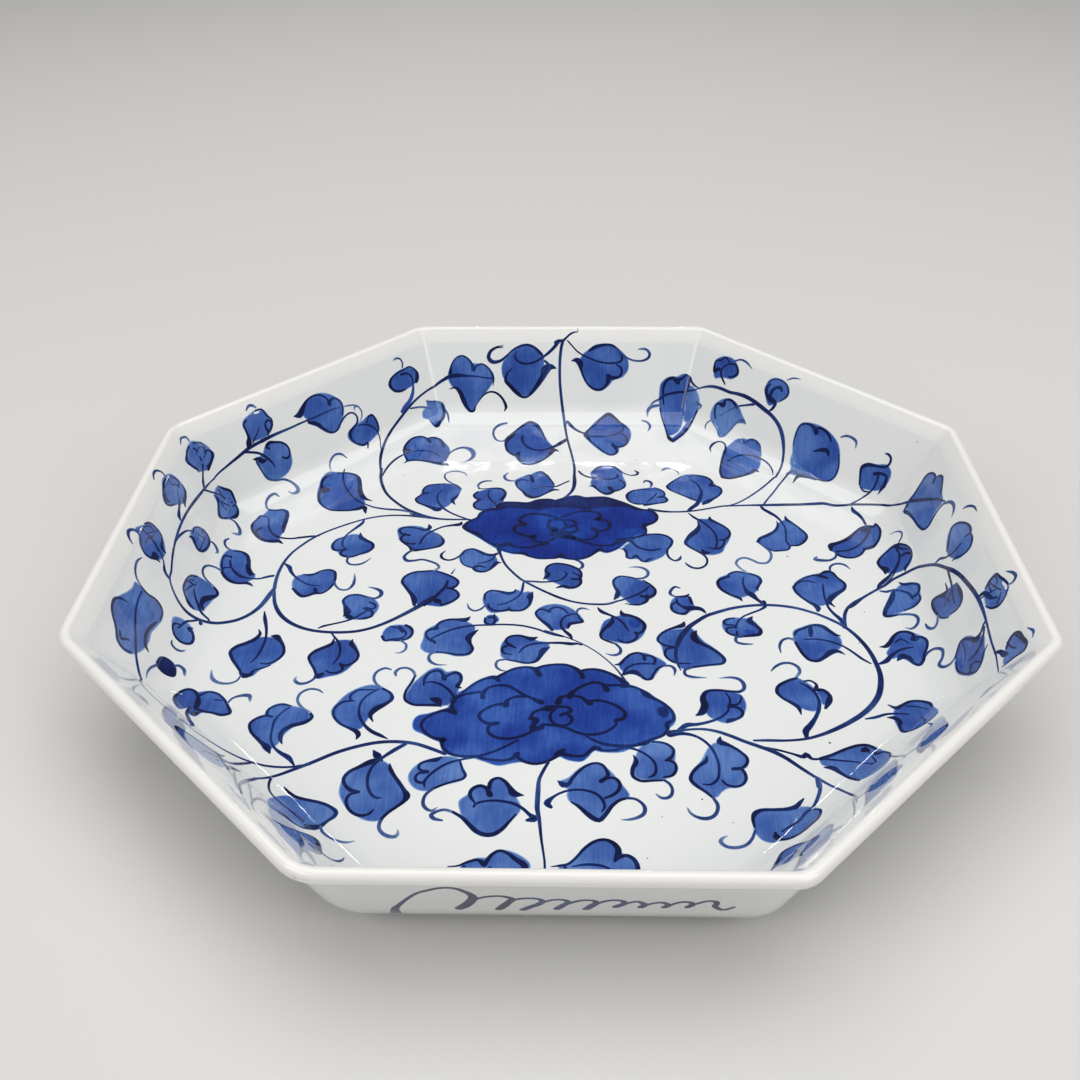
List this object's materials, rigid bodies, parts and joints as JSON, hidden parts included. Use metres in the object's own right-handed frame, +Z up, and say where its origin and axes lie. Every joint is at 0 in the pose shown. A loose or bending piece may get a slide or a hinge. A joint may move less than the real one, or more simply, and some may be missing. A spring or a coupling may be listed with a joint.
{
  "type": "octagonal serving plate",
  "caption": "Deep octagonal porcelain serving plate with flaring walls, a thick lip, a foot ring and a blue scrolling floral pattern under clear glaze.",
  "frame": {"origin": "on the table, in the middle of the foot ring", "axes": "+Z up, out of the dish; +Y towards the flat side of the octagon that is furthest from the viewer; +X to the viewer's right"},
  "size_m": [0.3, 0.3, 0.046],
  "materials": {
    "biscuit_porcelain": "unglazed fired porcelain, matt",
    "clear_glaze": "clear gloss glaze over white porcelain",
    "cobalt_wash": "underglaze cobalt wash, gloss",
    "cobalt_line": "underglaze cobalt line, gloss"
  },
  "bodies": {
    "root": {"dish_body": "biscuit_porcelain", "foot_ring": "biscuit_porcelain", "glaze_coat": "clear_glaze", "foot_well_glaze": "clear_glaze"}
  },
  "joints": []
}
